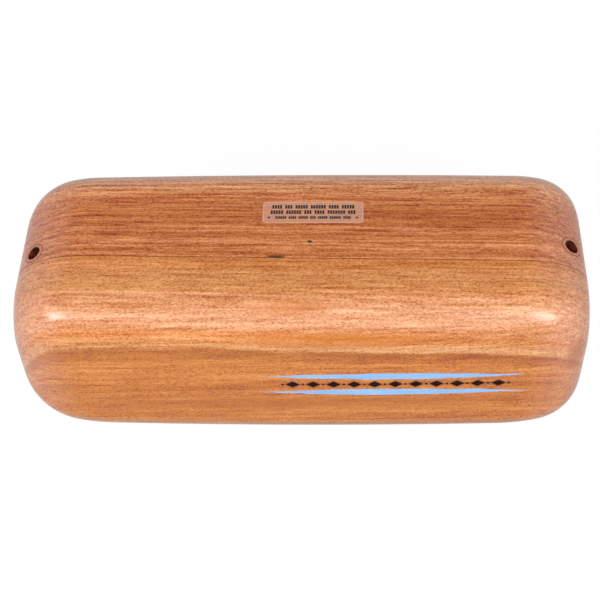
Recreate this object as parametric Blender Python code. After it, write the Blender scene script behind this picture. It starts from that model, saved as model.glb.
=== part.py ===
"""A hardwood wood block: two glued boards, a resonance slot, two lined mounting ports and a clear label.

The block lies on its playing face. X runs along it, -Y is the decorated front, +Y the slotted rear and +Z
the label face. The origin is on the floor under the middle of the block. All sizes are in metres.
"""

import math

import bmesh
import bpy
from mathutils import Matrix, Vector

# Overall size
LENGTH = 0.250
DEPTH = 0.095
HEIGHT = 0.090

# Rounding by hand, a little different at the two ends. The long sides bow in towards the ends by their
# belly. Each end corner is a quarter ellipse, given as its run along X and its drop across X.
FRONT_BELLY = 0.0023
REAR_BELLY = 0.0018
EDGE_RADIUS = 0.019
SIDE_CORNER = {"left": (0.0212, 0.0121), "right": (0.0173, 0.0110)}
LABEL_CORNER = {"left": (0.0326, 0.0183), "right": (0.0291, 0.0147)}
PLAYING_CORNER = {"left": (0.0371, 0.0240), "right": (0.0361, 0.0201)}

# Glue joint between the boards: the front board's thickness half way along, and the joint's turn
FRONT_BOARD = 0.0345
JOINT_SKEW = math.radians(1.0)
GLUE_GAP = 0.0003

# Resonance slot, milled in from the rear
TONGUE = 0.019
SLOT_HEIGHT = 0.0095
SLOT_END_WALL = 0.025
SLOT_FRONT_WALL = 0.024

# Mounting ports: drilled into the corners between the label face and the ends
PORT_END_INSET = {"left": 0.0082, "right": 0.0065}
PORT_FROM_JOINT = {"left": 0.0064, "right": 0.0128}
PORT_TILT = math.radians(50)
PORT_DEPTH = 0.019
BUSHING_OUTER = 0.0095
BUSHING_BORE = 0.0065
BUSHING_GAP = 0.0003

# Label, placed from the middle of the label face
LABEL_SIZE = (0.04445, 0.0127)
LABEL_THICKNESS = 0.0001
LABEL_ADHESIVE = 0.00005
LABEL_ROUNDING = 0.0016
LABEL_PLACE = (0.0060, 0.0135)
LABEL_TURN = math.radians(-0.25)

# Facets
CORNER_STATIONS = 16
MIDDLE_STATIONS = 8
EDGE_SEGMENTS = 12
ROUND_SIDES = 48
SMOOTH_ANGLE = math.radians(30)
WALL_SHARE = 0.95  # the most that the edge radius may take of the half section it rounds
OVERRUN = 0.010  # how far a cutter runs past what it cuts
MERGE = 1e-6  # points closer than this are one
OUTWARD = {"left": -1, "right": 1}  # the way along X from the middle to each end


def srgb(code):
    """The linear RGBA of an sRGB hex colour."""
    levels = [int(code[k : k + 2], 16) / 255 for k in (1, 3, 5)]
    linear = [v / 12.92 if v <= 0.04045 else ((v + 0.055) / 1.055) ** 2.4 for v in levels]
    return (*linear, 1.0)


def material(name, colour, roughness, metallic=0.0, alpha=1.0):
    """A Principled material."""
    made = bpy.data.materials.new(name)
    made.use_nodes = True
    shader = made.node_tree.nodes["Principled BSDF"]
    shader.inputs["Base Color"].default_value = srgb(colour)
    shader.inputs["Roughness"].default_value = roughness
    shader.inputs["Metallic"].default_value = metallic
    shader.inputs["Alpha"].default_value = alpha
    return made


def collection(name):
    """A collection in the scene."""
    made = bpy.data.collections.new(name)
    bpy.context.scene.collection.children.link(made)
    return made


def add_mesh(name, bm, group):
    """Turns a bmesh into an object in a collection."""
    bmesh.ops.recalc_face_normals(bm, faces=bm.faces)
    mesh = bpy.data.meshes.new(name)
    bm.to_mesh(mesh)
    bm.free()
    made = bpy.data.objects.new(name, mesh)
    group.objects.link(made)
    return made


def as_cutter(tool):
    """Marks an object as a cutter."""
    tool.hide_render = True
    tool.display_type = "WIRE"
    return tool


def boolean(target, tool, operation):
    """Adds an exact Boolean modifier."""
    cut = target.modifiers.new(f"{operation.lower()}_{tool.name}", "BOOLEAN")
    cut.operation = operation
    cut.solver = "EXACT"
    cut.object = tool


def settle(part, finish):
    """Keeps the modified mesh as the part's own, shaded smooth up to its crisp edges, in its finish."""
    graph = bpy.context.evaluated_depsgraph_get()
    mesh = bpy.data.meshes.new_from_object(part.evaluated_get(graph))
    part.modifiers.clear()
    part.data = mesh
    mesh.materials.clear()
    mesh.materials.append(finish)
    mesh.shade_smooth()
    mesh.set_sharp_from_angle(angle=SMOOTH_ANGLE)
    return part


def corner_drop(x, corner):
    """How far an end corner has fallen away at x from the face that it rounds."""
    run, drop = corner["left" if x < 0 else "right"]
    along = max(0.0, abs(x) - (LENGTH / 2 - run)) / run
    return drop * (1 - math.sqrt(max(0.0, 1 - along * along)))


def front_face(x):
    """The Y of the decorated front at x."""
    return FRONT_BELLY * (2 * x / LENGTH) ** 2 + corner_drop(x, SIDE_CORNER) - DEPTH / 2


def rear_face(x):
    """The Y of the slotted rear at x."""
    return DEPTH / 2 - REAR_BELLY * (2 * x / LENGTH) ** 2 - corner_drop(x, SIDE_CORNER)


def label_face(x):
    """The label face's height at x."""
    return HEIGHT - corner_drop(x, LABEL_CORNER)


def playing_face(x):
    """The playing face's height at x."""
    return corner_drop(x, PLAYING_CORNER)


def stations():
    """Places along X for the sections, closer together the steeper the end corners are."""
    starts, corners = [], []
    for end, outward in OUTWARD.items():
        longest = max(corner[end][0] for corner in (SIDE_CORNER, LABEL_CORNER, PLAYING_CORNER))
        starts.append(outward * (LENGTH / 2 - longest))
        for k in range(1, CORNER_STATIONS + 1):
            turn = math.pi / 2 * k / CORNER_STATIONS
            corners.append(outward * (LENGTH / 2 - longest * (1 - math.sin(turn))))
    left, right = starts
    middle = [left + (right - left) * k / MIDDLE_STATIONS for k in range(MIDDLE_STATIONS + 1)]
    return sorted(corners + middle)


def section(x):
    """The points of the rounded rectangle that the block has at x."""
    front, rear, low, high = front_face(x), rear_face(x), playing_face(x), label_face(x)
    radius = min(EDGE_RADIUS, WALL_SHARE * (rear - front) / 2, WALL_SHARE * (high - low) / 2)
    centres = (
        (rear - radius, high - radius),
        (front + radius, high - radius),
        (front + radius, low + radius),
        (rear - radius, low + radius),
    )
    points = []
    for quarter, (y, z) in enumerate(centres):
        for k in range(EDGE_SEGMENTS + 1):
            turn = math.pi / 2 * (quarter + k / EDGE_SEGMENTS)
            points.append(Vector((x, y + radius * math.cos(turn), z + radius * math.sin(turn))))
    return points


def block_form():
    """The whole rounded block, lofted through its sections."""
    bm = bmesh.new()
    rings = []
    for x in stations():
        corners = [bm.verts.new(point) for point in section(x)]
        edges = [bm.edges.new((a, b)) for a, b in zip(corners, corners[1:] + corners[:1])]
        rings.append(edges)
    for before, after in zip(rings, rings[1:]):
        bmesh.ops.bridge_loops(bm, edges=before + after)
    bmesh.ops.contextual_create(bm, geom=rings[0])
    bmesh.ops.contextual_create(bm, geom=rings[-1])
    return bm


def joint_y(x):
    """Where the joint's middle lies across the block at x."""
    return FRONT_BOARD - DEPTH / 2 - math.tan(JOINT_SKEW) * x


def board(name, side, group):
    """The part of the block in front of the joint, side -1, or behind it, side 1."""
    outward = Matrix.Rotation(-JOINT_SKEW, 3, "Z") @ Vector((0, side, 0))
    face = Vector((0, joint_y(0), 0)) + outward * GLUE_GAP / 2
    bm = block_form()
    everything = bm.verts[:] + bm.edges[:] + bm.faces[:]
    sawn = bmesh.ops.bisect_plane(bm, geom=everything, plane_co=face, plane_no=-outward, clear_outer=True)
    rim = [item for item in sawn["geom_cut"] if isinstance(item, bmesh.types.BMEdge)]
    bmesh.ops.contextual_create(bm, geom=rim)
    return add_mesh(name, bm, group)


def round_edges(bm, axis, radius, segments):
    """Rounds the edges of a box that run along one axis."""
    lengths = {edge: abs(getattr(edge.verts[0].co - edge.verts[1].co, axis)) for edge in bm.edges}
    along = [edge for edge, length in lengths.items() if length > MERGE]
    bmesh.ops.bevel(bm, geom=along, offset=radius, segments=segments, profile=0.5, affect="EDGES")
    bmesh.ops.remove_doubles(bm, verts=bm.verts, dist=MERGE)


def slot_cutter(group):
    """The slot's space: a flat pocket with round ends, open to the rear."""
    length = LENGTH - 2 * SLOT_END_WALL
    front, rear = SLOT_FRONT_WALL - DEPTH / 2, DEPTH / 2 + OVERRUN
    bm = bmesh.new()
    size = Matrix.Diagonal((length, rear - front, SLOT_HEIGHT, 1))
    place = Matrix.Translation((0, (rear + front) / 2, TONGUE + SLOT_HEIGHT / 2))
    bmesh.ops.create_cube(bm, size=1, matrix=place @ size)
    round_edges(bm, "y", SLOT_HEIGHT / 2, EDGE_SEGMENTS)
    return as_cutter(add_mesh("slot_cutter", bm, group))


def port_axes(side):
    """A port's frame: its origin where the port's axis meets the corner, its Z axis pointing out."""
    outward = OUTWARD[side]
    x = outward * (LENGTH / 2 - PORT_END_INSET[side])
    place = Matrix.Translation((x, joint_y(x) + PORT_FROM_JOINT[side], label_face(x)))
    return place @ Matrix.Rotation(outward * (math.pi / 2 - PORT_TILT), 4, "Y")


def rod(name, radius, depth, frame, group):
    """A round rod on a port's axis, from a depth below the surface to past it."""
    bm = bmesh.new()
    middle = Matrix.Translation((0, 0, (OVERRUN - depth) / 2))
    bmesh.ops.create_cone(
        bm,
        cap_ends=True,
        segments=ROUND_SIDES,
        radius1=radius,
        radius2=radius,
        depth=depth + OVERRUN,
        matrix=frame @ middle,
    )
    return add_mesh(name, bm, group)


def port_cutter(side, group):
    """The hole that a bushing is glued into."""
    radius = BUSHING_OUTER / 2 + BUSHING_GAP
    return as_cutter(rod(f"{side}_port_cutter", radius, PORT_DEPTH, port_axes(side), group))


def bushing(side, form, group, tools, finish):
    """A liner with a bore right through it, its outer end flush with the block's rounded corner."""
    frame = port_axes(side)
    liner = rod(f"{side}_port_bushing", BUSHING_OUTER / 2, PORT_DEPTH - BUSHING_GAP, frame, group)
    bore = rod(f"{side}_bore_cutter", BUSHING_BORE / 2, PORT_DEPTH + OVERRUN, frame, tools)
    boolean(liner, form, "INTERSECT")
    boolean(liner, as_cutter(bore), "DIFFERENCE")
    return settle(liner, finish)


def label(group, finish):
    """The film label: a thin plate with rounded corners, turned a little, flat on the label face."""
    bm = bmesh.new()
    height = HEIGHT + LABEL_ADHESIVE + LABEL_THICKNESS / 2
    place = Matrix.Translation((*LABEL_PLACE, height))
    size = Matrix.Diagonal((*LABEL_SIZE, LABEL_THICKNESS, 1))
    bmesh.ops.create_cube(bm, size=1, matrix=size)
    round_edges(bm, "z", LABEL_ROUNDING, EDGE_SEGMENTS // 2)
    bmesh.ops.transform(bm, matrix=place @ Matrix.Rotation(LABEL_TURN, 4, "Z"), verts=bm.verts)
    return settle(add_mesh("mounting_label", bm, group), finish)


def main():
    for old in list(bpy.data.objects):
        bpy.data.objects.remove(old, do_unlink=True)
    parts = collection("wood_block")
    tools = collection("cutters")
    base = bpy.data.objects.new("wood_block_base", None)
    parts.objects.link(base)

    golden_wood = material("lacquered_golden_hardwood", "#CE8C55", 0.38)
    red_wood = material("lacquered_reddish_hardwood", "#B87347", 0.38)
    liner_wood = material("turned_hardwood_liner", "#A9663F", 0.5)
    film = material("clear_label_film", "#D9B49C", 0.25, alpha=0.35)

    form = as_cutter(add_mesh("block_form", block_form(), tools))
    cutters = [slot_cutter(tools), port_cutter("left", tools), port_cutter("right", tools)]
    pieces = []
    for name, side, finish in (("front_board", -1, golden_wood), ("rear_board", 1, red_wood)):
        piece = board(name, side, parts)
        for tool in cutters:
            boolean(piece, tool, "DIFFERENCE")
        pieces.append(settle(piece, finish))
    pieces += [bushing(side, form, parts, tools, liner_wood) for side in ("left", "right")]
    pieces.append(label(parts, film))
    for piece in pieces:
        piece.parent = base


main()
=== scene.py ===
"""Looks for the wood block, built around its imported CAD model.

The block lies on its playing face, with X along it, -Y the decorated front, +Y the slotted rear and +Z
the label face. Everything is in metres in the CAD model's frame. Wood patterns are worked out in
millimetres.
"""

import math

import bmesh
import bpy
from bpy.props import FloatProperty, FloatVectorProperty, IntProperty, PointerProperty
from bpy.types import Operator, Panel, PropertyGroup
from mathutils import Matrix, Vector


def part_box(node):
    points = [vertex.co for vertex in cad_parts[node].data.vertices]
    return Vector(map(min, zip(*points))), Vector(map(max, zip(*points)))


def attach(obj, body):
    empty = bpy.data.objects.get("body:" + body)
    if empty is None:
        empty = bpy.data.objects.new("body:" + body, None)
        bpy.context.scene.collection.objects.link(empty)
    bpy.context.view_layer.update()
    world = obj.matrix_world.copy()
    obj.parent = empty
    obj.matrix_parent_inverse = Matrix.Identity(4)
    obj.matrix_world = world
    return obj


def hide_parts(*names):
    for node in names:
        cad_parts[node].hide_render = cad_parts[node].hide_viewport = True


bl_info = {
    "name": "Wood block",
    "version": (1, 0, 0),
    "blender": (4, 5, 0),
    "location": "3D View > Sidebar > Wood block",
    "description": "Models a hardwood wood block with its port liners, label and decoration",
    "category": "Object",
}

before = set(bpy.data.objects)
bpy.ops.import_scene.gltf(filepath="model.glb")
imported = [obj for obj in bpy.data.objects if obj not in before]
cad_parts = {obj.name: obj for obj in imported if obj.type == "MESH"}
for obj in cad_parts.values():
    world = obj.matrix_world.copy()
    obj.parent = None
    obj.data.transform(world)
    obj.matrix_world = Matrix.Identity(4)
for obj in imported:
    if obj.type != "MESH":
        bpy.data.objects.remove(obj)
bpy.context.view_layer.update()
FRONT_LOW, _ = (Vector(corner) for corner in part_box("front_board"))
REAR_LOW, REAR_HIGH = (Vector(corner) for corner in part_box("rear_board"))
LABEL_LOW, LABEL_HIGH = (Vector(corner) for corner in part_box("mounting_label"))

LENGTH = REAR_HIGH.x - REAR_LOW.x
HEIGHT = REAR_HIGH.z
FRONT_Y, REAR_Y = FRONT_LOW.y, REAR_HIGH.y
ENDS = {"left": -1, "right": 1}  # the way along X from the middle to each end
MM = 0.001

# Facets, finer than the CAD model's
EDGE_SEGMENTS = 20
CORNER_RINGS = 26
MIDDLE_RINGS = 12
ROUND_SIDES = 72
DOT_SIDES = 16
MOUTH_SEGMENTS = 3
SMALL_SEGMENTS = 2
CRISP = math.radians(30)  # an edge that turns more than this stays crisp
SAME = 1e-5  # places closer than this are one
FLAT = 0.999  # a normal's part along an axis that makes a face flat
OVERRUN = 0.010  # how far a cutter runs past what it cuts
END_RIM = 0.5 * MM  # a band round each flat end that keeps its shading flat
GLUE_FILL = 0.98  # the share of the joint's gap that the glue fills

OF_COLOURS = {"data_type": "RGBA", "output": 2}  # makes a Mix node mix colours

# Wood patterns, in millimetres
SWAY = 4  # the range of the noise that sways the growth layers
SWAY_RUN, SWAY_WIDTH = 120, 35  # a wave's length along the grain and its width
LINE_RUN, LINE_PITCH = 150, 1.5  # the thin lines' length and their distance apart
BRISTLE_RUN, BRISTLE_WIDTH, BRISTLE_PULL = 16, 0.4, 1.6  # a bristle's mark in the paint
PAINT_EDGE = (0.78, 0.9)  # inside a stripe, where its paint begins and is full

# Wood patterns, as shares
TAKEN = (0.55, 1.0, 1.65)  # of its red, green and blue that the wood takes in a dark streak
PORE_EDGE = (0.67, 0.76)  # of the noise, where a pore begins and where it is full
PORE_FILL = 0.68  # of a pore's colour that is its filling
SHEEN_EDGE = (0.39, 0.49)  # of the block's length from its middle, where the painted sheen begins and is full
STAIN_EDGE = (1.2, 0.6)  # of a stain's reach, where it begins and where it is full
SCORCH = 0.8  # of the colour round a burned mark that is scorched


# Sizes and colours that a user would change


def linear(code):
    """The linear RGBA of an sRGB hex colour."""
    levels = [int(code[k : k + 2], 16) / 255 for k in (1, 3, 5)]
    return (*[v / 12.92 if v <= 0.04045 else ((v + 0.055) / 1.055) ** 2.4 for v in levels], 1.0)


def size(name, description, default):
    """A length."""
    return FloatProperty(
        name=name, description=description, default=default, unit="LENGTH", precision=5
    )


def light(name, description, default):
    """A lamp's power in watts, or a brightness."""
    return FloatProperty(name=name, description=description, default=default, min=0)


def corner(name, default):
    """An end corner's rounding: a quarter ellipse with a run along the block and a drop across it."""
    return FloatVectorProperty(
        name=name, description="Run and drop", size=2, default=default, unit="LENGTH", precision=5
    )


def angle(name, description, degrees):
    """An angle."""
    return FloatProperty(
        name=name, description=description, default=math.radians(degrees), subtype="ANGLE"
    )


def colour(name, description, code):
    """A colour, from its sRGB hex value."""
    return FloatVectorProperty(
        name=name, description=description, size=4, min=0, max=1, default=linear(code), subtype="COLOR"
    )


class BlockShape(PropertyGroup):
    edge_radius: size("Edge radius", "Rounding of the four long edges", 0.019)
    front_belly: size("Front belly", "How far the front bows in towards its ends", 0.0023)
    rear_belly: size("Rear belly", "How far the rear bows in towards its ends", 0.0018)
    left_side: corner("Left side corners", (0.0212, 0.0121))
    right_side: corner("Right side corners", (0.0173, 0.0110))
    left_label: corner("Left label corner", (0.0326, 0.0183))
    right_label: corner("Right label corner", (0.0291, 0.0147))
    left_playing: corner("Left playing corner", (0.0371, 0.0240))
    right_playing: corner("Right playing corner", (0.0361, 0.0201))
    front_board: size("Front board", "Thickness of the front board half way along", 0.0345)
    joint_skew: angle("Joint skew", "Turn of the glue joint", 1)
    glue_line: size("Glue line", "Thickness of the glue between the boards", 0.0003)


class SlotShape(PropertyGroup):
    tongue: size("Tongue", "Wood between the slot and the playing face", 0.019)
    height: size("Height", "Height of the slot", 0.0095)
    end_wall: size("End wall", "Wood between the slot and each end", 0.025)
    front_wall: size("Front wall", "Wood between the slot and the front", 0.024)
    eased: size("Eased edge", "Rounding of the slot's mouth by sanding", 0.0008)


class PortShape(PropertyGroup):
    left_inset: size("Left inset", "The left port's distance from the end", 0.0082)
    right_inset: size("Right inset", "The right port's distance from the end", 0.0065)
    left_from_joint: size("Left from joint", "The left port's distance behind the joint", 0.0064)
    right_from_joint: size("Right from joint", "The right port's distance behind the joint", 0.0128)
    tilt: angle("Tilt", "Angle of the ports to the label face", 50)
    depth: size("Depth", "Depth of the ports", 0.019)
    outer: size("Outer", "Diameter of a liner", 0.0095)
    bore: size("Bore", "Diameter of a liner's bore", 0.0065)
    glue: size("Glue", "Thickness of the glue round a liner", 0.0003)
    ridge: size("Ridges", "Height of the drill's ridges in a bore", 0.0002)


class Decoration(PropertyGroup):
    middle: size("Middle", "Place along the block of the ornament's middle", 0.042)
    height: size("Height", "Height of the ornament's middle", 0.045)
    reach: size("Reach", "Half the length of the painted stripes", 0.058)
    spread: size("Spread", "From the ornament's middle to each stripe", 0.0058)
    brush: size("Brush", "Half the width of a stripe at its middle", 0.0021)
    pitch: size("Pitch", "From one lozenge to the next", 0.009)
    half_length: size("Half length", "Half a lozenge's length", 0.0032)
    half_height: size("Half height", "Half a lozenge's height", 0.0022)
    dot: size("Dot", "Radius of the dots between lozenges", 0.0006)
    burned_in: size("Burned in", "Depth of the burned marks", 0.0003)
    lozenges: IntProperty(name="Lozenges", description="How many lozenges there are", default=11, min=1)


class LabelPrint(PropertyGroup):
    stroke: size("Stroke", "Width of a printed dash", 0.0008)
    gap: size("Gap", "Space between dashes", 0.00034)
    tall: size("Height", "Height of a printed dash", 0.0021)
    row: size("Row", "From one row to the next", 0.0032)
    ink: size("Ink", "Thickness of the ink", 0.00002)
    turn: angle("Turn", "The label's turn on its face", -0.25)


class WoodColours(PropertyGroup):
    cream: colour("Cream line", "The palest line in the front board", "#CF8D56")
    # Paler, bluer layers under the rounded edge: partly the wood's own paler colour, partly a painted
    # highlight
    pale_highlight: colour("Sapwood", "The palest layers along the rounded edge", "#C58457")
    pale: colour("Pale layers", "Pale layers in the front board", "#C9834B")
    golden: colour("Golden layers", "The front board's usual colour", "#C77B40")
    honey: colour("Honey layers", "The front board's outer layers", "#C67731")
    amber: colour("Amber layers", "Denser layers in the front board", "#BA6A20")
    latewood: colour("Latewood", "The darkest line in the front board", "#AC5E1A")
    blush: colour("Blush layers", "The palest layers in the rear board", "#C98354")
    rose: colour("Rose layers", "The rear board's usual colour", "#C17441")
    russet: colour("Russet layers", "The reddest layers in the rear board", "#B4642D")
    # A painted sheen: the pale pink that the ends take from the room's reflection, screened over the
    # wood
    end_sheen: colour("Hazy ends", "The haze that sanding across the grain adds", "#6A5258")
    pore: colour("Pores", "The pores' dark filling", "#6E3216")
    liner: colour("Liner", "The port liners' wood", "#AC683C")
    # Near black: painted shade inside a bore, and also the colour of the dark streak on the joint
    bore: colour("Bore", "The scorched wall of a bore", "#2E1006")
    cut: colour("Clean cut", "A bore's wall where the drill cut clean", "#762E18")
    glue: colour("Glue", "The dried glue", "#3A1608")
    thin_glue: colour("Thin glue", "The glue where the wood touches", "#662E14")


class MarkColours(PropertyGroup):
    paint: colour("Paint", "The sky-blue brush paint", "#7FB2EE")
    thin_paint: colour("Thin paint", "The paint where the brush ran dry", "#9CC4F2")
    burn: colour("Burn", "The burned marks", "#120705")
    char_brown: colour("Char brown", "The burned marks where the iron was cooler", "#3A1A0E")
    scorch: colour("Scorch", "The brown round a burned mark", "#7C3F1E")
    film: colour("Film", "The label's clear film", "#F0BCA0")
    ink: colour("Ink", "The label's print", "#140C0C")
    thin_ink: colour("Thin ink", "The print where it is thin", "#241614")


class StageSet(PropertyGroup):
    lens: FloatProperty(
        name="Lens", description="Focal length in mm", default=79.915, subtype="DISTANCE_CAMERA"
    )
    distance: size("Distance", "From the camera to the block's middle", 0.61443)
    elevation: angle("Elevation", "How far the camera looks down", 50.919)
    yaw: angle("Yaw", "The camera's turn round the block", -3.326)
    roll: angle("Roll", "The camera's roll", 2.661)
    shift_right: size("Shift right", "How far the block stands right of the picture's middle", 0.000778)
    shift_up: size("Shift up", "How far the block stands above the picture's middle", -0.000177)
    key: light("Key", "Power of each side softbox in watts", 4.9)
    fill: light("Fill", "Power of the middle softbox in watts", 4.1)
    overhead: light("Overhead", "Power of the overhead softbox in watts", 1.7)
    rear: light("Rear", "Power of the rear softbox in watts", 1.1)
    walls: light("Walls", "Light from the room's walls", 0.24)
    ceiling: light("Ceiling", "Brightness of the ceiling beside the walls", 0.5)


class WoodBlock(PropertyGroup):
    shape: PointerProperty(type=BlockShape)
    slot: PointerProperty(type=SlotShape)
    ports: PointerProperty(type=PortShape)
    decoration: PointerProperty(type=Decoration)
    label: PointerProperty(type=LabelPrint)
    wood: PointerProperty(type=WoodColours)
    marks: PointerProperty(type=MarkColours)
    stage: PointerProperty(type=StageSet)


# Modelling helpers


def mode(name):
    """Goes into edit mode, or back to object mode."""
    bpy.ops.object.mode_set(mode=name)


def deselect():
    """Goes back to object mode with nothing selected."""
    if bpy.context.object and bpy.context.object.mode != "OBJECT":
        mode("OBJECT")
    bpy.ops.object.select_all(action="DESELECT")


def only(piece):
    """Makes a piece the one that operators act on."""
    deselect()
    piece.select_set(True)
    bpy.context.view_layer.objects.active = piece


def named(name):
    """Names the object just made, fixes its place in its mesh and returns it."""
    made = bpy.context.object
    made.name = made.data.name = name
    bpy.ops.object.transform_apply(location=True, rotation=True, scale=True)
    return made


def span(edge, axis):
    """How far an edge reaches along an axis."""
    first, second = (getattr(vertex.co, axis) for vertex in edge.verts)
    return abs(first - second)


def pick(piece, kind, test):
    """Selects the vertices, edges or faces of a piece in edit mode that pass a test."""
    bpy.ops.mesh.select_mode(type=kind)
    bpy.ops.mesh.select_all(action="DESELECT")
    mesh = bmesh.from_edit_mesh(piece.data)
    for item in {"VERT": mesh.verts, "EDGE": mesh.edges, "FACE": mesh.faces}[kind]:
        if test(item):
            item.select_set(True)
    bmesh.update_edit_mesh(piece.data)


def bevel(piece, test, offset, segments):
    """Rounds the edges of a piece in edit mode that pass a test."""
    pick(piece, "EDGE", test)
    bpy.ops.mesh.bevel(offset=offset, segments=segments, affect="EDGES")


def cut(point, normal, **options):
    """Cuts the edited piece along a plane."""
    bpy.ops.mesh.select_all(action="SELECT")
    bpy.ops.mesh.bisect(plane_co=point, plane_no=normal, **options)


def copy_of(piece, name):
    """A copy with its own mesh."""
    only(piece)
    bpy.ops.object.duplicate()
    return named(name)


def combine(piece, tool, operation="DIFFERENCE"):
    """Applies an exact Boolean."""
    only(piece)
    change = piece.modifiers.new(operation.lower(), "BOOLEAN")
    change.operation = operation
    change.solver = "EXACT"
    change.object = tool
    bpy.ops.object.modifier_apply(modifier=change.name)


def join(pieces, name):
    """Joins pieces into one."""
    deselect()
    for piece in pieces:
        piece.select_set(True)
    bpy.context.view_layer.objects.active = pieces[0]
    bpy.ops.object.join()
    return named(name)


def discard(*pieces):
    """Removes what was only a help."""
    for piece in pieces:
        bpy.data.objects.remove(piece, do_unlink=True)


def finish_inside(piece, material, test):
    """Gives the faces of a piece that pass a test a finish of their own."""
    piece.data.materials.append(material)
    only(piece)
    mode("EDIT")
    pick(piece, "FACE", test)
    piece.active_material_index = 1
    bpy.ops.object.material_slot_assign()
    mode("OBJECT")


def complete(piece, material, slot, *nodes):
    """Shades a piece, gives it its material and fixes it to the block, in place of its CAD nodes."""
    only(piece)
    bpy.ops.object.shade_smooth_by_angle(angle=CRISP)
    even = piece.modifiers.new("even_shading", "WEIGHTED_NORMAL")
    even.keep_sharp = True
    bpy.ops.object.modifier_apply(modifier=even.name)
    piece.data.materials.clear()
    piece.data.materials.append(material)
    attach(piece, "root")
    if nodes:
        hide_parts(*nodes)


# The block's form


def corner_drop(x, left, right):
    """How far an end corner has fallen away at x."""
    run, drop = left if x < 0 else right
    along = max(0.0, abs(x) - (LENGTH / 2 - run)) / run
    return drop * (1 - math.sqrt(max(0.0, 1 - along * along)))


def moves_at(shape, x):
    """How far the front, the rear, the underside and the top come in at x."""
    side = corner_drop(x, shape.left_side, shape.right_side)
    bow = (2 * x / LENGTH) ** 2
    return {
        "front": shape.front_belly * bow + side,
        "rear": -shape.rear_belly * bow - side,
        "under": corner_drop(x, shape.left_playing, shape.right_playing),
        "top": -corner_drop(x, shape.left_label, shape.right_label),
    }


def ring_places(shape):
    """Places along X for the rings, closer together towards the ends."""
    places, inner = [], []
    for end, outward in ENDS.items():
        run = max(getattr(shape, f"{end}_{face}")[0] for face in ("side", "label", "playing"))
        inner.append(outward * (LENGTH / 2 - run))
        for k in range(1, CORNER_RINGS):
            turn = math.pi / 2 * k / CORNER_RINGS
            places.append(outward * (LENGTH / 2 - run * (1 - math.sin(turn))))
    left, right = inner
    places += [left + (right - left) * k / MIDDLE_RINGS for k in range(MIDDLE_RINGS + 1)]
    return sorted(places)


def move_quarter(blank, x, across, up, moves):
    """Moves one rounded corner of the ring at x by what its two faces come in."""
    middle = (REAR_Y + FRONT_Y) / 2

    def is_there(vertex):
        place = vertex.co
        is_side = (place.y > middle) == (across == "rear")
        is_level = (place.z > HEIGHT / 2) == (up == "top")
        return abs(place.x - x) < SAME and is_side and is_level

    pick(blank, "VERT", is_there)
    bpy.ops.transform.translate(value=(0, moves[across], moves[up]))


def rounded_blank(shape):
    """The block before it is sawn: a rounded box, drawn in ring by ring at its ends."""
    deselect()
    middle = Vector((0, (REAR_Y + FRONT_Y) / 2, HEIGHT / 2))
    whole = (LENGTH, REAR_Y - FRONT_Y, HEIGHT)
    bpy.ops.mesh.primitive_cube_add(size=1, location=middle, scale=whole)
    blank = named("blank")
    mode("EDIT")
    bevel(blank, lambda edge: span(edge, "x") > LENGTH / 2, shape.edge_radius, EDGE_SEGMENTS)
    places = ring_places(shape)
    for x in places:
        cut((x, 0, 0), (1, 0, 0))
    for x in (-LENGTH / 2, *places, LENGTH / 2):
        moves = moves_at(shape, x)
        if max(abs(move) for move in moves.values()) < SAME:
            continue
        for across in ("front", "rear"):
            for up in ("under", "top"):
                move_quarter(blank, x, across, up, moves)
    pick(blank, "FACE", lambda face: abs(face.normal.x) > FLAT and len(face.verts) > 4)
    bpy.ops.mesh.inset(thickness=END_RIM, use_individual=True)
    mode("OBJECT")
    return blank


def joint_plane(shape):
    """A point half way along the joint, and the joint's normal towards the rear."""
    normal = Matrix.Rotation(-shape.joint_skew, 3, "Z") @ Vector((0, 1, 0))
    return Vector((0, FRONT_Y + shape.front_board, 0)), normal


def saw(piece, point, outward):
    """Saws off what lies outward of a plane, and closes the cut."""
    only(piece)
    mode("EDIT")
    cut(point, outward, use_fill=True, clear_outer=True)
    mode("OBJECT")


def slot_cutter(slot):
    """The slot's space: a flat pocket with round ends, open to the rear."""
    deselect()
    low = Vector((slot.end_wall - LENGTH / 2, FRONT_Y + slot.front_wall, slot.tongue))
    high = Vector((LENGTH / 2 - slot.end_wall, REAR_Y + OVERRUN, slot.tongue + slot.height))
    bpy.ops.mesh.primitive_cube_add(size=1, location=(low + high) / 2, scale=high - low)
    cutter = named("slot_cutter")
    mode("EDIT")
    bevel(cutter, lambda edge: span(edge, "y") > OVERRUN, slot.height / 2 - SAME, EDGE_SEGMENTS)
    mode("OBJECT")
    return cutter


def port_frame(shape, ports, end):
    """A port's frame: its origin where the axis meets the corner, its Z axis pointing out."""
    outward = ENDS[end]
    x = outward * (LENGTH / 2 - getattr(ports, f"{end}_inset"))
    point, normal = joint_plane(shape)
    y = point.y - x * normal.x / normal.y + getattr(ports, f"{end}_from_joint")
    z = HEIGHT + moves_at(shape, x)["top"]
    return Matrix.Translation((x, y, z)) @ Matrix.Rotation(outward * (math.pi / 2 - ports.tilt), 4, "Y")


def rod(name, diameter, depth, placed):
    """A round rod on a port's axis, from a depth below the surface to past it."""
    deselect()
    middle = placed @ Matrix.Translation((0, 0, (OVERRUN - depth) / 2))
    bpy.ops.mesh.primitive_cylinder_add(
        vertices=ROUND_SIDES,
        radius=diameter / 2,
        depth=depth + OVERRUN,
        location=middle.translation,
        rotation=middle.to_euler(),
    )
    return named(name)


# Materials


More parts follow.
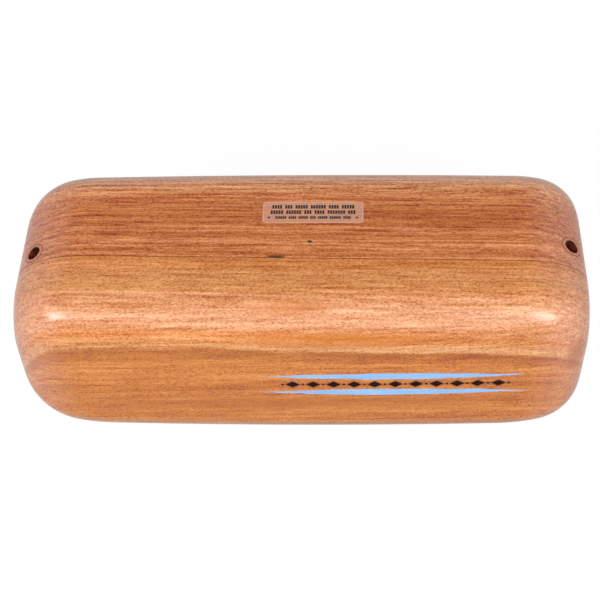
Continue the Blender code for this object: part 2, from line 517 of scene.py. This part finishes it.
def add(tree, kind, inputs=(), operation=None, output=0, stops=(), **settings):
    """Adds a shader node, sets or links its inputs, and returns one of its outputs."""
    node = tree.nodes.new("ShaderNode" + kind)
    if operation:
        node.operation = operation
    for name, value in settings.items():
        setattr(node, name, value)
    for k, (place, tint) in enumerate(stops):
        points = node.color_ramp.elements
        point = points[k] if k < 2 else points.new(place)
        point.position = place
        point.color = tint
    for name, value in dict(inputs).items():
        if isinstance(value, bpy.types.NodeSocket):
            tree.links.new(value, node.inputs[name])
        else:
            node.inputs[name].default_value = value
    return node.outputs[output]


def new_material(name, **values):
    """A material with its Principled shader's values, its node tree and the shader's inputs."""
    made = bpy.data.materials.new(name)
    made.use_nodes = True
    sockets = made.node_tree.nodes["Principled BSDF"].inputs
    for socket, value in values.items():
        sockets[socket.replace("_", " ")].default_value = value
    return made, made.node_tree, sockets


def mottled(name, first, second, patch, high=0.6, roughness=0.5, specular=0.5):
    """A material that wanders between two colours, in patches of a size in millimetres."""
    made, tree, sockets = new_material(name, Roughness=roughness, Specular_IOR_Level=specular)
    spot = add(tree, "TexCoord", output="Object")
    small = tuple(1 / (length * MM) for length in patch)
    spot = add(tree, "VectorMath", {0: spot, 1: small}, "MULTIPLY")
    patches = add(tree, "TexNoise", {"Vector": spot, "Scale": 1.0, "Detail": 2.0})
    tint = add(tree, "ValToRGB", {0: patches}, stops=((0.4, tuple(first)), (high, tuple(second))))
    tree.links.new(tint, sockets["Base Color"])
    bump = add(tree, "Bump", {"Height": patches, "Strength": 0.3, "Distance": 0.05 * MM})
    tree.links.new(bump, sockets["Normal"])
    return made


def hardwood(name, pith, dip, turn, layers, lines, streaks, pore, stains=(), bow=0.0):
    """Straight-grained mahogany, sanded and sprayed with satin lacquer.

    To the eye: growth layers round the log's pith, fine streaks along the grain, and short dark pores.
    Lengths are in millimetres, but places and reaches in metres. The layers are distances from the pith
    with a colour each, and lines is the strength of the thin lines along them. A streak is a length, a
    width and a strength, and a pore a length and a width. A stain is a place, a reach, a colour and a
    strength. In the middle of the block the layers bow outwards by bow.
    """
    made, tree, sockets = new_material(name, Specular_IOR_Level=0.42)
    palette = bpy.context.scene.wood_block.wood
    spot = add(tree, "TexCoord", output="Object")
    centre = Vector(pith) + Vector((0, SWAY, SWAY)) / 2 * MM
    turned = {"Location": centre, "Rotation": (0, dip, turn), "Scale": (MM, MM, MM)}
    log = add(tree, "Mapping", {"Vector": spot, **turned}, vector_type="TEXTURE")

    # Growth layers, which sway up to 1 mm
    waves = (1 / SWAY_RUN, 1 / SWAY_WIDTH, 1 / SWAY_WIDTH)
    slow = add(tree, "VectorMath", {0: log, 1: waves}, "MULTIPLY")
    uneven = {"Scale": 1.0, "Detail": 3.0, "Roughness": 0.65}
    sway = add(tree, "TexNoise", {"Vector": slow, **uneven}, output="Color")
    swung = add(tree, "VectorMath", {0: sway, 1: (0, SWAY, SWAY), 2: log}, "MULTIPLY_ADD")
    far = add(tree, "VectorMath", {0: log, 1: (2 * MM / LENGTH, 0, 0)}, "MULTIPLY")
    far = add(tree, "VectorMath", {0: far, 1: far}, "DOT_PRODUCT", output="Value")
    bowed = add(tree, "Math", {0: far, 1: bow, 2: -bow}, "MULTIPLY_ADD")
    swung = add(tree, "VectorMath", {0: swung, 1: add(tree, "CombineXYZ", {1: bowed})}, "ADD")
    radial = add(tree, "VectorMath", {0: swung, 1: (0, 1, 1)}, "MULTIPLY")
    ring = add(tree, "VectorMath", {0: radial}, "LENGTH", output="Value")
    inner, outer = layers[0][0], layers[-1][0]
    share = add(tree, "MapRange", {"Value": ring, "From Min": inner, "From Max": outer})
    stops = [((place - inner) / (outer - inner), tuple(tint)) for place, tint in layers]
    wood = add(tree, "ValToRGB", {0: share}, stops=stops)

    # Lines that follow the growth layers, then the streaks, the finest one last
    along = add(tree, "SeparateXYZ", {0: swung})
    thin = add(tree, "Math", {0: along, 1: 1 / LINE_RUN}, "MULTIPLY")
    close = add(tree, "Math", {0: ring, 1: 1 / LINE_PITCH}, "MULTIPLY")
    lined = add(tree, "CombineXYZ", {0: thin, 1: close})
    grains = [(lined, lines, 2.0)]
    for length, width, strength in streaks:
        small = (1 / length, 1 / width, 1 / width)
        grain = add(tree, "VectorMath", {0: log, 1: small}, "MULTIPLY")
        grains.append((grain, strength, 1.0))
    shade, level = 0.0, 0.0
    for grain, strength, detail in grains:
        fine = add(tree, "TexNoise", {"Vector": grain, "Scale": 1.0, "Detail": detail})
        shade = add(tree, "Math", {0: fine, 1: strength, 2: shade}, "MULTIPLY_ADD")
        level += strength / 2

    # A darker streak is redder too, because the wood takes more of the green and most of the blue
    kept = tuple(1 - level * part for part in TAKEN)
    tone = add(tree, "VectorMath", {0: shade, 1: TAKEN, 2: kept}, "MULTIPLY_ADD")
    wood = add(tree, "VectorMath", {0: wood, 1: tone}, "MULTIPLY")

    # Pores, drawn about twice their real width so that they show
    length, width = pore
    small = (1 / length, 1 / width, 1 / width)
    dashes = add(tree, "VectorMath", {0: log, 1: small}, "MULTIPLY")
    dashes = add(tree, "TexNoise", {"Vector": dashes, "Scale": 1.0, "Detail": 0.0})
    edge = {"From Min": PORE_EDGE[0], "From Max": PORE_EDGE[1], "To Max": PORE_FILL}
    pores = add(tree, "MapRange", {"Value": dashes, **edge})
    wood = add(tree, "Mix", {0: pores, 6: wood, 7: tuple(palette.pore)}, **OF_COLOURS)

    # A painted sheen: a pale pink screened over the wood at both ends, where the room's reflection pales
    # them
    end = add(tree, "Math", {0: add(tree, "SeparateXYZ", {0: spot})}, "ABSOLUTE")
    edge = {"From Min": SHEEN_EDGE[0] * LENGTH, "From Max": SHEEN_EDGE[1] * LENGTH}
    sheen_share = add(tree, "MapRange", {"Value": end, **edge})
    end_sheen = tuple(palette.end_sheen)
    wood = add(tree, "Mix", {0: sheen_share, 6: wood, 7: end_sheen}, blend_type="SCREEN", **OF_COLOURS)

    for place, reach, tint, strength in stains:
        mark = {"Location": place, "Scale": reach}
        near = add(tree, "Mapping", {"Vector": spot, **mark}, vector_type="TEXTURE")
        far = add(tree, "VectorMath", {0: near}, "LENGTH", output="Value")
        edge = {"From Min": STAIN_EDGE[0], "From Max": STAIN_EDGE[1], "To Max": strength}
        stain = add(tree, "MapRange", {"Value": far, **edge})
        wood = add(tree, "Mix", {0: stain, 6: wood, 7: tuple(tint)}, **OF_COLOURS)

    # The lacquer sinks a little into the pores and follows the finest streaks
    satin = {"From Min": 0.3, "From Max": 0.7, "To Min": 0.26, "To Max": 0.34}
    dull = add(tree, "MapRange", {"Value": fine, **satin})
    tree.links.new(dull, sockets["Roughness"])
    relief = add(tree, "Math", {0: fine, 1: 0.5, 2: pores}, "MULTIPLY_ADD")
    bump = add(tree, "Bump", {"Height": relief, "Strength": 0.4, "Distance": 0.03 * MM}, invert=True)
    tree.links.new(bump, sockets["Normal"])
    tree.links.new(wood, sockets["Base Color"])
    return made, tree, sockets, spot, wood


def decorate(tree, sockets, spot, wood, decoration, marks):
    """Adds two hand-brushed sky-blue stripes that taper to points, round burned lozenges and dots."""
    names = ("reach", "spread", "brush", "pitch", "half_length", "half_height", "dot")
    millimetres = [getattr(decoration, name) / MM for name in names]
    reach, spread, brush, pitch, half_length, half_height, dot = millimetres
    centred = {"Location": (decoration.middle, 0, decoration.height), "Scale": (MM, MM, MM)}
    local = add(tree, "Mapping", {"Vector": spot, **centred}, vector_type="TEXTURE")
    along = add(tree, "SeparateXYZ", {0: local})
    up = along.node.outputs[2]
    rise = add(tree, "Math", {0: up}, "ABSOLUTE")
    run = add(tree, "Math", {0: along}, "ABSOLUTE")
    row_end = decoration.lozenges * pitch / 2 + 1.2 * dot  # just past the last dot
    in_row = add(tree, "Math", {0: run, 1: row_end}, "LESS_THAN")

    # Lozenges, with the wood round them scorched brown
    step = add(tree, "Math", {0: along, 1: pitch / 2, 2: -pitch / 2}, "WRAP")
    step = add(tree, "Math", {0: step}, "ABSOLUTE")
    step = add(tree, "Math", {0: step, 1: half_length}, "DIVIDE")
    far = add(tree, "Math", {0: rise, 1: 1 / half_height, 2: step}, "MULTIPLY_ADD")
    scorched = add(tree, "MapRange", {"Value": far, "From Min": 1.6, "From Max": 1.0, "To Max": SCORCH})

    # Dots half way between them
    shifted = add(tree, "Math", {0: along, 1: pitch / 2}, "ADD")
    shifted = add(tree, "Math", {0: shifted, 1: pitch / 2, 2: -pitch / 2}, "WRAP")
    round_dot = add(tree, "CombineXYZ", {0: shifted, 1: up})
    near = add(tree, "VectorMath", {0: round_dot}, "LENGTH", output="Value")
    edge = {"From Min": 2 * dot, "From Max": dot, "To Max": SCORCH}
    scorched_dot = add(tree, "MapRange", {"Value": near, **edge})
    both = add(tree, "Math", {0: scorched, 1: scorched_dot}, "MAXIMUM")
    both = add(tree, "Math", {0: both, 1: in_row}, "MULTIPLY")
    wood = add(tree, "Mix", {0: both, 6: wood, 7: tuple(marks.scorch)}, **OF_COLOURS)

    # Stripes, with edges that the brush's bristles have drawn out
    fine = (1 / BRISTLE_RUN, 1, 1 / BRISTLE_WIDTH)
    bristles = add(tree, "VectorMath", {0: local, 1: fine}, "MULTIPLY")
    bristles = add(tree, "TexNoise", {"Vector": bristles, "Scale": 1.0, "Detail": 2.0})
    share = add(tree, "Math", {0: along, 1: reach}, "DIVIDE")
    share = add(tree, "Math", {0: share, 1: share}, "MULTIPLY")
    taper = add(tree, "Math", {0: share, 1: -brush, 2: brush}, "MULTIPLY_ADD")
    aside = add(tree, "Math", {0: rise, 1: spread}, "SUBTRACT")
    aside = add(tree, "Math", {0: aside}, "ABSOLUTE")
    inside = add(tree, "Math", {0: taper, 1: aside}, "SUBTRACT")
    inside = add(tree, "Math", {0: bristles, 1: BRISTLE_PULL, 2: inside}, "MULTIPLY_ADD")
    edge = {"From Min": PAINT_EDGE[0], "From Max": PAINT_EDGE[1]}
    painted = add(tree, "MapRange", {"Value": inside, **edge})
    paint = ((0.4, marks.paint), (0.7, marks.thin_paint))
    streaky = add(tree, "ValToRGB", {0: bristles}, stops=paint)
    wood = add(tree, "Mix", {0: painted, 6: wood, 7: streaky}, **OF_COLOURS)
    tree.links.new(wood, sockets["Base Color"])


def burned_marks(shape, decoration):
    """Cutters for the lozenges and dots, each burned in as deep from the bowed front."""
    deselect()
    depth, facing_front = 5 * MM, (math.pi / 2, 0, 0)
    bpy.ops.mesh.primitive_cylinder_add(vertices=4, radius=1, depth=1, rotation=facing_front)
    bpy.ops.transform.resize(value=(decoration.half_length, depth, decoration.half_height))
    lozenge = named("lozenge")
    mode("EDIT")
    bevel(lozenge, lambda edge: span(edge, "y") > depth / 2, 0.15 * MM, SMALL_SEGMENTS)
    deselect()
    bpy.ops.mesh.primitive_cylinder_add(
        vertices=DOT_SIDES, radius=decoration.dot, depth=depth, rotation=facing_front
    )
    dot = named("dot")
    marks = []
    for k in range(2 * decoration.lozenges + 1):
        x = decoration.middle + (k - decoration.lozenges) * decoration.pitch / 2
        copy_of(lozenge if k % 2 else dot, f"mark_{k}")
        y = FRONT_Y + moves_at(shape, x)["front"] + decoration.burned_in - depth / 2
        bpy.ops.transform.translate(value=(x, y, decoration.height))
        marks.append(named(f"mark_{k}"))
    discard(lozenge, dot)
    return join(marks, "marks")


class WOOD_BLOCK_OT_boards(Operator):
    """Models the two boards and the glue line between them"""

    bl_idname = "wood_block.boards"
    bl_label = "Boards"

    def execute(self, context):
        block = context.scene.wood_block
        shape, ports = block.shape, block.ports
        blank = rounded_blank(shape)
        pocket = slot_cutter(block.slot)
        marks = burned_marks(shape, block.decoration)
        point, normal = joint_plane(shape)
        half = normal * shape.glue_line / 2
        front = copy_of(blank, "front_plank")
        saw(front, point - half, normal)
        rear = copy_of(blank, "rear_plank")
        saw(rear, point + half, -normal)
        glue = copy_of(blank, "glue_line")
        saw(glue, point + half * GLUE_FILL, normal)
        saw(glue, point - half * GLUE_FILL, -normal)
        for piece in (front, rear, glue):
            combine(piece, pocket)
        combine(front, marks)
        for end in ENDS:
            placed = port_frame(shape, ports, end)
            hole = rod(f"{end}_hole", ports.outer + 2 * ports.glue, ports.depth, placed)
            combine(rear, hole)
            discard(hole)
        self.ease_mouth(rear, block.slot)
        # Dried glue, a dark line that pales where the boards touch
        colours = block.wood.glue, block.wood.thin_glue
        dried = mottled("dried_wood_glue", *colours, (5, 2, 5), roughness=0.7, specular=0.2)
        complete(front, self.golden(block), "golden_hardwood", "front_board")
        self.char(front, block)
        complete(rear, self.reddish(block), "reddish_hardwood", "rear_board")
        complete(glue, dried, "reddish_hardwood")
        discard(blank, pocket, marks)
        return {"FINISHED"}

    def ease_mouth(self, rear, slot):
        """Sands the sharp edge off the slot's mouth."""
        middle = slot.tongue + slot.height / 2

        def is_mouth(edge):
            normals = [face.normal for face in edge.link_faces]
            spots = [vertex.co for vertex in edge.verts]
            near = all(abs(spot.z - middle) < 0.6 * slot.height and spot.y > 0 for spot in spots)
            faces_rear = any(normal.y > 0.7 for normal in normals)
            faces_slot = any(abs(normal.y) < 0.3 for normal in normals)
            return near and faces_rear and faces_slot

        only(rear)
        mode("EDIT")
        bevel(rear, is_mouth, slot.eased, MOUTH_SEGMENTS)
        mode("OBJECT")

    def char(self, front, block):
        """Chars the burned recesses matt black, and browner where the iron was cooler."""
        marks, decoration, shape = block.marks, block.decoration, block.shape
        colours = marks.burn, marks.char_brown
        charred = mottled("charred_wood", *colours, (0.8, 0.8, 0.8), 0.75, roughness=0.9, specular=0.1)

        def is_burned(face):
            spot = face.calc_center_median()
            deep = spot.y - FRONT_Y - moves_at(shape, spot.x)["front"] > 0.2 * decoration.burned_in
            aside = abs(spot.x - decoration.middle) < decoration.reach
            return deep and aside and abs(spot.z - decoration.height) < 1.1 * decoration.half_height

        finish_inside(front, charred, is_burned)

    def golden(self, block):
        """The front board's wood, with a dark latewood line below its upper edge, and its ornament."""
        wood = block.wood
        made, *parts = hardwood(
            "lacquered_golden_mahogany",
            pith=(0, 0.030, 0.089),
            dip=-0.05,
            turn=-0.021,
            layers=(
                (40, wood.amber), (46, wood.golden), (53, wood.pale), (61, wood.pale),
                # The pale_highlight layers lie under the rounded edge and paint part of its highlight
                # into the wood
                (65, wood.pale_highlight), (75.5, wood.pale_highlight), (77.5, wood.golden), (79.1, wood.cream),
                (80.1, wood.cream), (80.5, wood.latewood), (81.3, wood.latewood), (83.5, wood.honey),
                (87, wood.honey), (91, wood.amber), (93.5, wood.honey), (96.5, wood.amber),
                (102, wood.honey), (108, wood.amber), (117, wood.amber),
            ),
            lines=1.2,
            streaks=((90, 3.5, 0.4), (45, 1.4, 1.1), (16, 1.1, 0.9), (5, 0.8, 0.6), (1.1, 0.7, 1.5)),
            pore=(1.4, 0.42),
            bow=0.5,
            stains=(
                # Two darker patches along the rounded edge, a band low on the front, and the right end
                ((0.014, -0.0468, 0.0752), (42 * MM, 8 * MM, 4.2 * MM), wood.amber, 0.55),
                ((-0.004, -0.0380, 0.0875), (16 * MM, 4 * MM, 4 * MM), wood.amber, 0.4),
                ((0.000, -0.0475, 0.0305), (85 * MM, 10 * MM, 6 * MM), wood.latewood, 0.45),
                ((0.119, -0.0400, 0.0600), (5 * MM, 8 * MM, 10 * MM), wood.latewood, 0.6),
            ),
        )
        decorate(*parts, block.decoration, block.marks)
        return made

    def reddish(self, block):
        """The rear board's wood, with a pin hole drawn as a black dot of painted shade, and a short dark
        streak on the joint.
        """
        wood = block.wood
        return hardwood(
            "lacquered_reddish_mahogany",
            pith=(0, -0.034, 0.098),
            dip=-0.03,
            turn=-0.006,
            layers=(
                (15, wood.rose), (20.5, wood.rose), (21.5, wood.russet), (23.5, wood.rose),
                (25.2, wood.russet), (27.5, wood.rose), (31, wood.rose), (35, wood.russet),
                (38, wood.rose), (41, wood.russet), (51, wood.russet), (54.5, wood.rose),
                (56, wood.russet), (57.5, wood.rose), (63, wood.blush), (75, wood.blush),
                (90, wood.rose), (105, wood.russet),
            ),
            lines=1.9,
            streaks=((90, 3.5, 0.3), (60, 1.3, 1.7), (22, 1.0, 1.4), (7, 0.85, 1.0), (1.2, 0.7, 1.7)),
            pore=(2.8, 0.42),
            stains=(
                # A smudge, the pin hole as a black dot of painted shade, and the streak on the joint
                ((-0.0145, 0.0205, 0.090), (6 * MM, 2 * MM, 0.02), wood.russet, 0.5),
                ((0.0048, -0.0036, 0.090), (1.1 * MM, 0.8 * MM, 0.02), block.marks.burn, 1.0),
                ((-0.0096, -0.0122, 0.090), (4.5 * MM, 0.75 * MM, 0.02), wood.bore, 0.9),
            ),
        )[0]


class WOOD_BLOCK_OT_liners(Operator):
    """Models the two port liners and the glue round them"""

    bl_idname = "wood_block.liners"
    bl_label = "Port liners"

    def execute(self, context):
        block = context.scene.wood_block
        shape, ports = block.shape, block.ports
        # A bore's wall, near black as painted shade for the deep hole, with redder wood where the drill
        # cut clean
        colours = block.wood.bore, block.wood.cut
        drilled = mottled("scorched_drilled_wood", *colours, (4, 4, 4), 0.7, roughness=0.8, specular=0.1)
        dried = bpy.data.materials["dried_wood_glue"]
        blank = rounded_blank(shape)
        deep = ports.depth - ports.glue
        for end in ENDS:
            placed = port_frame(shape, ports, end)
            liner = rod(f"{end}_port_liner", ports.outer, deep, placed)
            around = copy_of(liner, f"{end}_around")
            bore = rod(f"{end}_bore", ports.bore, ports.depth + OVERRUN, placed)
            self.ridges(bore, placed, ports)
            glue = rod(f"{end}_port_glue", ports.outer + 2 * ports.glue, deep, placed)
            combine(liner, blank, "INTERSECT")
            combine(liner, bore)
            combine(glue, blank, "INTERSECT")
            combine(glue, around)
            complete(liner, self.turned(block, end), "liner_hardwood", f"{end}_port_bushing")
            complete(glue, dried, "liner_hardwood")
            self.paint_bore_shade(liner, drilled, placed, ports)
            discard(bore, around)
        discard(blank)
        return {"FINISHED"}

    def turned(self, block, end):
        """A dowel's wood, whose grain runs along the port, so that its end shows small dark flecks."""
        wood = block.wood
        return hardwood(
            f"lacquered_{end}_dowel",
            pith=(0, 0.004, 0),
            dip=-ENDS[end] * block.ports.tilt,
            turn=0,
            layers=(
                (0, wood.liner), (14, wood.russet), (17, wood.liner),
                (21, wood.liner), (25, wood.russet),
            ),
            lines=0.6,
            streaks=((12, 0.9, 1.0), (4, 0.6, 1.0)),
            pore=(2.8, 0.3),
        )[0]

    def ridges(self, bore, placed, ports):
        """Swells every other ring of a bore's cutter, for the ridges that the drill leaves."""
        axis, foot = placed.col[2].xyz.normalized(), placed.translation
        step = 0.5 * MM
        only(bore)
        mode("EDIT")
        depths = [k * step for k in range(-8, int(ports.depth / step))]
        for depth in depths:
            cut(foot - axis * depth, axis)
        for depth in depths[::2]:
            centre = foot - axis * depth
            pick(bore, "VERT", lambda vertex: abs((vertex.co - centre).dot(axis)) < SAME)
            share = 1 + 2 * ports.ridge / ports.bore
            bpy.ops.transform.resize(value=(share, share, share), center_override=centre)
        mode("OBJECT")

    def paint_bore_shade(self, liner, drilled, placed, ports):
        """Gives the bore's wall its near-black finish, painted shade for the deep hole."""
        axis, foot = placed.col[2].xyz.normalized(), placed.translation

        def is_wall(face):
            spot = face.calc_center_median() - foot
            across = (spot - axis * spot.dot(axis)).length
            return abs(face.normal.dot(axis)) < 0.8 and across < (ports.bore + ports.outer) / 4

        finish_inside(liner, drilled, is_wall)


class WOOD_BLOCK_OT_label(Operator):
    """Gives the label its clear film, and prints rows of plain dashes and two arrows on it"""

    bl_idname = "wood_block.label"
    bl_label = "Label"

    def execute(self, context):
        block = context.scene.wood_block
        middle = (LABEL_LOW + LABEL_HIGH) / 2
        middle.z = LABEL_HIGH.z
        self.film(block, middle)
        self.print_rows(block, middle)
        return {"FINISHED"}

    def film(self, block, middle):
        """Clear polyester film: a thin satin skin, with a painted highlight round its cut edge."""
        film, tree, sockets = new_material("clear_polyester_film", Roughness=0.3, Alpha=0.3)
        spot = add(tree, "TexCoord", output="Object")
        near = add(tree, "VectorMath", {0: spot, 1: tuple(middle)}, "SUBTRACT")
        near = add(tree, "VectorMath", {0: near}, "ABSOLUTE")
        half = (LABEL_HIGH - LABEL_LOW) / 2
        inset = add(tree, "VectorMath", {0: near, 1: (half.x, half.y, 0)}, "SUBTRACT")
        across = add(tree, "SeparateXYZ", {0: inset})
        edge = add(tree, "Math", {0: across, 1: across.node.outputs[1]}, "MAXIMUM")
        # A painted highlight: the film is more opaque, and so paler, near its cut edge
        fade = {"From Min": -0.8 * MM, "From Max": -0.4 * MM, "To Min": 0.28, "To Max": 0.5}
        edge_highlight = add(tree, "MapRange", {"Value": edge, **fade})
        tree.links.new(edge_highlight, sockets["Alpha"])
        sockets["Base Color"].default_value = tuple(block.marks.film)
        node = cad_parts["mounting_label"]
        node.data.materials.clear()
        node.data.materials.append(film)

    def print_rows(self, block, middle):
        """Rows of plain dashes in groups, the last row between two small arrows."""
        lines = block.label
        deselect()
        bpy.ops.mesh.primitive_cube_add(size=1, scale=(lines.stroke, lines.tall, lines.ink))
        dash = named("dash")
        mode("EDIT")
        bevel(dash, lambda edge: span(edge, "z") > lines.ink / 2, 0.12 * MM, SMALL_SEGMENTS)
        # Each row's place, its scale, and how many dashes each of its groups has
        rows = (
            (1, 1.0, (4, 3, 5, 6, 4, 5)),
            (0, 1.0, (5, 6, 3, 4, 7, 3)),
            (-1, 0.75, (6, 4, 5, 3, 5, 6, 4)),
        )
        pieces = []
        for row, scale, groups in rows:
            step = (lines.stroke + lines.gap) * scale
            total = sum(groups) * step + (len(groups) - 1) * step
            x = -total / 2
            for group in groups:
                for k in range(group):
                    copy_of(dash, "dash_copy")
                    bpy.ops.transform.resize(value=(scale, scale, 1))
                    bpy.ops.transform.translate(value=(x + step / 2, row * lines.row, 0))
                    pieces.append(named("dash_copy"))
                    x += step
                x += step
        from_middle = 19.4 * MM
        for way in (-1, 1):
            deselect()
            bpy.ops.mesh.primitive_cylinder_add(
                vertices=3, radius=0.8 * MM, depth=lines.ink, rotation=(0, 0, -way * math.pi / 2)
            )
            bpy.ops.transform.translate(value=(way * from_middle, -lines.row, 0))
            pieces.append(named("arrow"))
        discard(dash)
        printed = join(pieces, "label_print")
        bpy.ops.transform.rotate(value=-lines.turn, orient_axis="Z", center_override=(0, 0, 0))
        bpy.ops.transform.translate(value=middle + Vector((0, 0, lines.ink)))
        named("label_print")
        # Ink fused on by a printer: near black, a little uneven
        colours = block.marks.ink, block.marks.thin_ink
        ink = mottled("printed_black_ink", *colours, (0.6, 0.6, 0.6), 0.8, specular=0.2)
        complete(printed, ink, "clear_film")


class WOOD_BLOCK_OT_stage(Operator):
    """Sets up the floor, the room, the softboxes and the camera"""

    bl_idname = "wood_block.stage"
    bl_label = "Stage"

    def execute(self, context):
        stage = context.scene.wood_block.stage
        context.scene.view_settings.view_transform = "Standard"
        self.floor()
        self.room(stage)
        # Each softbox's direction from the front and above in degrees, its size in metres and its power
        for name, azimuth, elevation, size, power in (
            ("left_softbox", -42, 33, (0.2, 0.2), stage.key),
            ("right_softbox", 31, 33, (0.2, 0.2), stage.key),
            ("middle_softbox", 0, 36, (0.7, 1.0), stage.fill),
            ("overhead_softbox", 0, 89, (0.9, 0.9), stage.overhead),
            ("rear_softbox", 180, 12, (1.0, 0.5), stage.rear),
        ):
            self.softbox(name, math.radians(azimuth), math.radians(elevation), size, power)
        self.camera(stage)
        return {"FINISHED"}

    def floor(self):
        """A wide white table that the block rests on."""
        deselect()
        bpy.ops.mesh.primitive_plane_add(size=8)
        floor = named("floor")
        made, tree, _ = new_material("matt_white_table", Base_Color=linear("#5E5E5E"), Roughness=0.9)
        # To the camera it glows white, mixed with the lit table that keeps the block's shadow
        part = add(tree, "Math", {0: self.seen(tree), 1: 0.6}, "MULTIPLY")
        glow = add(tree, "Emission", {"Strength": 1.6})
        principled = tree.nodes["Principled BSDF"].outputs[0]
        shown = add(tree, "MixShader", {0: part, 1: principled, 2: glow})
        tree.links.new(shown, tree.nodes["Material Output"].inputs["Surface"])
        floor.data.materials.append(made)

    def room(self, stage):
        """White walls that fade to a darker ceiling."""
        room = bpy.data.worlds.new("white_room")
        bpy.context.scene.world = room
        room.use_nodes = True
        tree = room.node_tree
        seen = self.seen(tree)
        height = add(tree, "SeparateXYZ", {0: add(tree, "TexCoord", output="Generated")}, output=2)
        fade = {"From Min": 0.6, "From Max": 0.85, "To Min": 1.0, "To Max": stage.ceiling}
        level = add(tree, "MapRange", {"Value": height, **fade}, interpolation_type="SMOOTHSTEP")
        dimmed = add(tree, "MapRange", {"Value": seen, "To Min": stage.walls, "To Max": 1.0})
        strength = add(tree, "Math", {0: level, 1: dimmed}, "MULTIPLY")
        tree.links.new(strength, tree.nodes["Background"].inputs["Strength"])
        tree.nodes["Background"].inputs["Color"].default_value = (1, 1, 1, 1)

    def seen(self, tree):
        """1 for the rays that show a surface to the camera, in a gloss or through glass, else 0."""
        rays = add(tree, "LightPath").node.outputs
        shown = add(tree, "Math", {0: rays["Is Camera Ray"], 1: rays["Is Glossy Ray"]}, "MAXIMUM")
        return add(tree, "Math", {0: shown, 1: rays["Is Transmission Ray"]}, "MAXIMUM")

    def softbox(self, name, azimuth, elevation, size, power):
        """A softbox that faces the block from a metre away."""
        middle = Vector((0, 0, HEIGHT / 2))
        towards = Vector((math.sin(azimuth), -math.cos(azimuth), 0)) * math.cos(elevation)
        towards.z = math.sin(elevation)
        turned = towards.to_track_quat("Z", "Y").to_euler()
        bpy.ops.object.light_add(type="AREA", location=middle + towards, rotation=turned)
        lamp = bpy.context.object
        lamp.name = lamp.data.name = name
        lamp.data.shape = "RECTANGLE"
        lamp.data.size, lamp.data.size_y = size
        lamp.data.energy = power

    def camera(self, stage):
        """The photograph's viewpoint."""
        ahead = Vector((math.sin(stage.yaw), math.cos(stage.yaw), 0))
        across = Vector((math.cos(stage.yaw), -math.sin(stage.yaw), 0))
        rise = ahead * math.sin(stage.elevation) + Vector((0, 0, math.cos(stage.elevation)))
        away = ahead * math.cos(stage.elevation) - Vector((0, 0, math.sin(stage.elevation)))
        right = across * math.cos(stage.roll) - rise * math.sin(stage.roll)
        up = across * math.sin(stage.roll) + rise * math.cos(stage.roll)
        place = Vector((0, 0, HEIGHT / 2)) - away * stage.distance
        place -= right * stage.shift_right + up * stage.shift_up
        turned = Matrix((right, up, -away)).transposed()
        bpy.ops.object.camera_add(location=place, rotation=turned.to_euler())
        camera = bpy.context.object
        camera.name = "camera"
        camera.data.lens = stage.lens
        bpy.context.scene.camera = camera


class WOOD_BLOCK_PT_panel(Panel):
    """Lists the steps that model the wood block"""

    bl_label = "Wood block"
    bl_space_type = "VIEW_3D"
    bl_region_type = "UI"
    bl_category = "Wood block"

    def draw(self, context):
        for step in STEPS:
            self.layout.operator(step.bl_idname)


STEPS = (WOOD_BLOCK_OT_stage, WOOD_BLOCK_OT_boards, WOOD_BLOCK_OT_liners, WOOD_BLOCK_OT_label)
GROUPS = (BlockShape, SlotShape, PortShape, Decoration, LabelPrint, WoodColours, MarkColours, StageSet)
CLASSES = (*GROUPS, WoodBlock, *STEPS, WOOD_BLOCK_PT_panel)


def register():
    for kind in CLASSES:
        bpy.utils.register_class(kind)
    bpy.types.Scene.wood_block = PointerProperty(type=WoodBlock)


def unregister():
    del bpy.types.Scene.wood_block
    for kind in reversed(CLASSES):
        bpy.utils.unregister_class(kind)


def main():
    register()
    bpy.ops.wood_block.stage()
    bpy.ops.wood_block.boards()
    bpy.ops.wood_block.liners()
    bpy.ops.wood_block.label()


if __name__ == "__main__":
    main()
